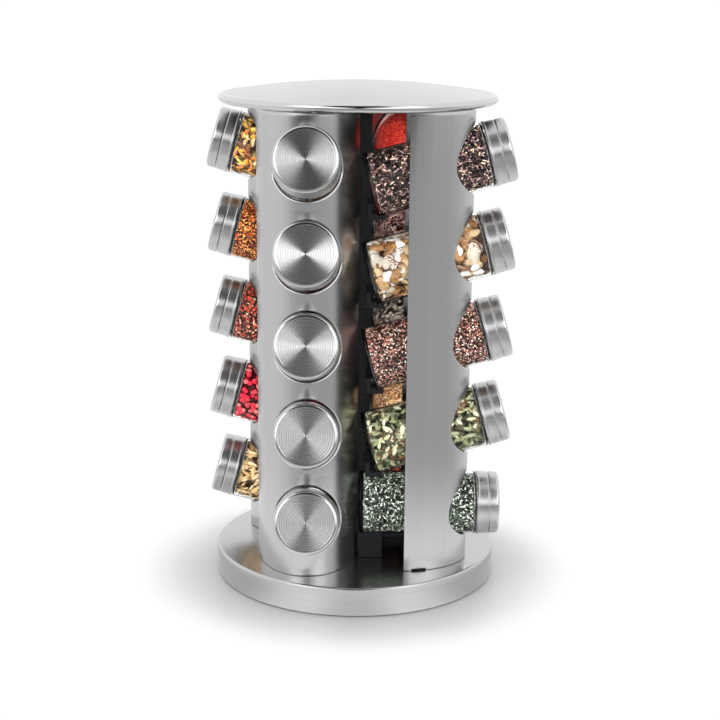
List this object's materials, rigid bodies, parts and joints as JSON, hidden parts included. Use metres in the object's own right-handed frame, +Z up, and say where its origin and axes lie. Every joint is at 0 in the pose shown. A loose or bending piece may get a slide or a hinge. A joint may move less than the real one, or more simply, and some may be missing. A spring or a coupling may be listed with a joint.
{
  "type": "revolving spice carousel",
  "caption": "Revolving round spice carousel: curved steel panels in a pinwheel hold tilted glass jars with steel screw lids, on a turntable base under a domed round top.",
  "frame": {"origin": "on the turning axis, at the level of the table under the feet", "axes": "+Z up along the turning axis; -Y is the front, which the front column of jars faces"},
  "size_m": [0.2202, 0.2202, 0.359],
  "materials": {
    "panel_steel": "vertically brushed stainless steel sheet",
    "lid_steel": "stainless steel with a turned face and a satin side",
    "cover_steel": "brushed stainless steel",
    "black_plastic": "smooth black moulded plastic",
    "grey_plastic": "grey moulded plastic",
    "zinc_steel": "zinc-plated steel",
    "foot_rubber": "soft matt rubber",
    "filled_glass": "clear glass jar filled with spice"
  },
  "bodies": {
    "base_stand": {"turntable_bottom": "grey_plastic", "foot_1": "foot_rubber", "foot_2": "foot_rubber", "foot_3": "foot_rubber", "foot_4": "foot_rubber"},
    "tower": {"base_cover": "cover_steel", "turntable_top": "grey_plastic", "tie_rod": "zinc_steel", "tie_rod_nut": "zinc_steel", "top_plate": "black_plastic", "top_cover": "cover_steel", "front_panel": "panel_steel", "right_panel": "panel_steel", "back_panel": "panel_steel", "left_panel": "panel_steel", "front_frame_quarter": "black_plastic", "right_frame_quarter": "black_plastic", "back_frame_quarter": "black_plastic", "left_frame_quarter": "black_plastic"},
    "bearing_cage": {"ball_cage": "zinc_steel"},
    "front_jar_1_body": {"front_jar_1": "filled_glass"},
    "front_lid_1_body": {"front_lid_1": "lid_steel"},
    "front_jar_2_body": {"front_jar_2": "filled_glass"},
    "front_lid_2_body": {"front_lid_2": "lid_steel"},
    "front_jar_3_body": {"front_jar_3": "filled_glass"},
    "front_lid_3_body": {"front_lid_3": "lid_steel"},
    "front_jar_4_body": {"front_jar_4": "filled_glass"},
    "front_lid_4_body": {"front_lid_4": "lid_steel"},
    "front_jar_5_body": {"front_jar_5": "filled_glass"},
    "front_lid_5_body": {"front_lid_5": "lid_steel"},
    "right_jar_1_body": {"right_jar_1": "filled_glass"},
    "right_lid_1_body": {"right_lid_1": "lid_steel"},
    "right_jar_2_body": {"right_jar_2": "filled_glass"},
    "right_lid_2_body": {"right_lid_2": "lid_steel"},
    "right_jar_3_body": {"right_jar_3": "filled_glass"},
    "right_lid_3_body": {"right_lid_3": "lid_steel"},
    "right_jar_4_body": {"right_jar_4": "filled_glass"},
    "right_lid_4_body": {"right_lid_4": "lid_steel"},
    "right_jar_5_body": {"right_jar_5": "filled_glass"},
    "right_lid_5_body": {"right_lid_5": "lid_steel"},
    "back_jar_1_body": {"back_jar_1": "filled_glass"},
    "back_lid_1_body": {"back_lid_1": "lid_steel"},
    "back_jar_2_body": {"back_jar_2": "filled_glass"},
    "back_lid_2_body": {"back_lid_2": "lid_steel"},
    "back_jar_3_body": {"back_jar_3": "filled_glass"},
    "back_lid_3_body": {"back_lid_3": "lid_steel"},
    "back_jar_4_body": {"back_jar_4": "filled_glass"},
    "back_lid_4_body": {"back_lid_4": "lid_steel"},
    "back_jar_5_body": {"back_jar_5": "filled_glass"},
    "back_lid_5_body": {"back_lid_5": "lid_steel"},
    "left_jar_1_body": {"left_jar_1": "filled_glass"},
    "left_lid_1_body": {"left_lid_1": "lid_steel"},
    "left_jar_2_body": {"left_jar_2": "filled_glass"},
    "left_lid_2_body": {"left_lid_2": "lid_steel"},
    "left_jar_3_body": {"left_jar_3": "filled_glass"},
    "left_lid_3_body": {"left_lid_3": "lid_steel"},
    "left_jar_4_body": {"left_jar_4": "filled_glass"},
    "left_lid_4_body": {"left_lid_4": "lid_steel"},
    "left_jar_5_body": {"left_jar_5": "filled_glass"},
    "left_lid_5_body": {"left_lid_5": "lid_steel"}
  },
  "joints": [
    {"name": "carousel_spin", "type": "hinge", "parent": "base_stand", "child": "tower", "pos_m": [0, 0, 0.0134], "axis": [0, 0, 1], "continuous": true},
    {"name": "cage_spin", "type": "hinge", "parent": "base_stand", "child": "bearing_cage", "pos_m": [0, 0, 0.0134], "axis": [0, 0, 1], "continuous": true},
    {"name": "front_jar_1_pull", "type": "slide", "parent": "tower", "child": "front_jar_1_body", "axis": [0, -0.9659, 0.2588], "range_m": [0, 0.095]},
    {"name": "front_lid_1_lift", "type": "slide", "parent": "front_jar_1_body", "child": "front_lid_1_body", "axis": [0, -0.9659, 0.2588], "range_m": [0, 0.03]},
    {"name": "front_jar_2_pull", "type": "slide", "parent": "tower", "child": "front_jar_2_body", "axis": [0, -0.9659, 0.2588], "range_m": [0, 0.095]},
    {"name": "front_lid_2_lift", "type": "slide", "parent": "front_jar_2_body", "child": "front_lid_2_body", "axis": [0, -0.9659, 0.2588], "range_m": [0, 0.03]},
    {"name": "front_jar_3_pull", "type": "slide", "parent": "tower", "child": "front_jar_3_body", "axis": [0, -0.9659, 0.2588], "range_m": [0, 0.095]},
    {"name": "front_lid_3_lift", "type": "slide", "parent": "front_jar_3_body", "child": "front_lid_3_body", "axis": [0, -0.9659, 0.2588], "range_m": [0, 0.03]},
    {"name": "front_jar_4_pull", "type": "slide", "parent": "tower", "child": "front_jar_4_body", "axis": [0, -0.9659, 0.2588], "range_m": [0, 0.095]},
    {"name": "front_lid_4_lift", "type": "slide", "parent": "front_jar_4_body", "child": "front_lid_4_body", "axis": [0, -0.9659, 0.2588], "range_m": [0, 0.03]},
    {"name": "front_jar_5_pull", "type": "slide", "parent": "tower", "child": "front_jar_5_body", "axis": [0, -0.9659, 0.2588], "range_m": [0, 0.095]},
    {"name": "front_lid_5_lift", "type": "slide", "parent": "front_jar_5_body", "child": "front_lid_5_body", "axis": [0, -0.9659, 0.2588], "range_m": [0, 0.03]},
    {"name": "right_jar_1_pull", "type": "slide", "parent": "tower", "child": "right_jar_1_body", "axis": [0.9659, 0, 0.2588], "range_m": [0, 0.095]},
    {"name": "right_lid_1_lift", "type": "slide", "parent": "right_jar_1_body", "child": "right_lid_1_body", "axis": [0.9659, 0, 0.2588], "range_m": [0, 0.03]},
    {"name": "right_jar_2_pull", "type": "slide", "parent": "tower", "child": "right_jar_2_body", "axis": [0.9659, 0, 0.2588], "range_m": [0, 0.095]},
    {"name": "right_lid_2_lift", "type": "slide", "parent": "right_jar_2_body", "child": "right_lid_2_body", "axis": [0.9659, 0, 0.2588], "range_m": [0, 0.03]},
    {"name": "right_jar_3_pull", "type": "slide", "parent": "tower", "child": "right_jar_3_body", "axis": [0.9659, 0, 0.2588], "range_m": [0, 0.095]},
    {"name": "right_lid_3_lift", "type": "slide", "parent": "right_jar_3_body", "child": "right_lid_3_body", "axis": [0.9659, 0, 0.2588], "range_m": [0, 0.03]},
    {"name": "right_jar_4_pull", "type": "slide", "parent": "tower", "child": "right_jar_4_body", "axis": [0.9659, 0, 0.2588], "range_m": [0, 0.095]},
    {"name": "right_lid_4_lift", "type": "slide", "parent": "right_jar_4_body", "child": "right_lid_4_body", "axis": [0.9659, 0, 0.2588], "range_m": [0, 0.03]},
    {"name": "right_jar_5_pull", "type": "slide", "parent": "tower", "child": "right_jar_5_body", "axis": [1, 0, 0], "range_m": [0, 0.095]},
    {"name": "right_lid_5_lift", "type": "slide", "parent": "right_jar_5_body", "child": "right_lid_5_body", "axis": [1, 0, 0], "range_m": [0, 0.03]},
    {"name": "back_jar_1_pull", "type": "slide", "parent": "tower", "child": "back_jar_1_body", "axis": [0, 0.9659, 0.2588], "range_m": [0, 0.095]},
    {"name": "back_lid_1_lift", "type": "slide", "parent": "back_jar_1_body", "child": "back_lid_1_body", "axis": [0, 0.9659, 0.2588], "range_m": [0, 0.03]},
    {"name": "back_jar_2_pull", "type": "slide", "parent": "tower", "child": "back_jar_2_body", "axis": [0, 0.9659, 0.2588], "range_m": [0, 0.095]},
    {"name": "back_lid_2_lift", "type": "slide", "parent": "back_jar_2_body", "child": "back_lid_2_body", "axis": [0, 0.9659, 0.2588], "range_m": [0, 0.03]},
    {"name": "back_jar_3_pull", "type": "slide", "parent": "tower", "child": "back_jar_3_body", "axis": [0, 0.9659, 0.2588], "range_m": [0, 0.095]},
    {"name": "back_lid_3_lift", "type": "slide", "parent": "back_jar_3_body", "child": "back_lid_3_body", "axis": [0, 0.9659, 0.2588], "range_m": [0, 0.03]},
    {"name": "back_jar_4_pull", "type": "slide", "parent": "tower", "child": "back_jar_4_body", "axis": [0, 0.9659, 0.2588], "range_m": [0, 0.095]},
    {"name": "back_lid_4_lift", "type": "slide", "parent": "back_jar_4_body", "child": "back_lid_4_body", "axis": [0, 0.9659, 0.2588], "range_m": [0, 0.03]},
    {"name": "back_jar_5_pull", "type": "slide", "parent": "tower", "child": "back_jar_5_body", "axis": [0, 0.9659, 0.2588], "range_m": [0, 0.095]},
    {"name": "back_lid_5_lift", "type": "slide", "parent": "back_jar_5_body", "child": "back_lid_5_body", "axis": [0, 0.9659, 0.2588], "range_m": [0, 0.03]},
    {"name": "left_jar_1_pull", "type": "slide", "parent": "tower", "child": "left_jar_1_body", "axis": [-0.9659, 0, 0.2588], "range_m": [0, 0.095]},
    {"name": "left_lid_1_lift", "type": "slide", "parent": "left_jar_1_body", "child": "left_lid_1_body", "axis": [-0.9659, 0, 0.2588], "range_m": [0, 0.03]},
    {"name": "left_jar_2_pull", "type": "slide", "parent": "tower", "child": "left_jar_2_body", "axis": [-0.9659, 0, 0.2588], "range_m": [0, 0.095]},
    {"name": "left_lid_2_lift", "type": "slide", "parent": "left_jar_2_body", "child": "left_lid_2_body", "axis": [-0.9659, 0, 0.2588], "range_m": [0, 0.03]},
    {"name": "left_jar_3_pull", "type": "slide", "parent": "tower", "child": "left_jar_3_body", "axis": [-0.9659, 0, 0.2588], "range_m": [0, 0.095]},
    {"name": "left_lid_3_lift", "type": "slide", "parent": "left_jar_3_body", "child": "left_lid_3_body", "axis": [-0.9659, 0, 0.2588], "range_m": [0, 0.03]},
    {"name": "left_jar_4_pull", "type": "slide", "parent": "tower", "child": "left_jar_4_body", "axis": [-0.9659, 0, 0.2588], "range_m": [0, 0.095]},
    {"name": "left_lid_4_lift", "type": "slide", "parent": "left_jar_4_body", "child": "left_lid_4_body", "axis": [-0.9659, 0, 0.2588], "range_m": [0, 0.03]},
    {"name": "left_jar_5_pull", "type": "slide", "parent": "tower", "child": "left_jar_5_body", "axis": [-0.9659, 0, 0.2588], "range_m": [0, 0.095]},
    {"name": "left_lid_5_lift", "type": "slide", "parent": "left_jar_5_body", "child": "left_lid_5_body", "axis": [-0.9659, 0, 0.2588], "range_m": [0, 0.03]}
  ],
  "couplings": [
    {"joint": "cage_spin", "follows": "carousel_spin", "ratio": 0.5}
  ]
}
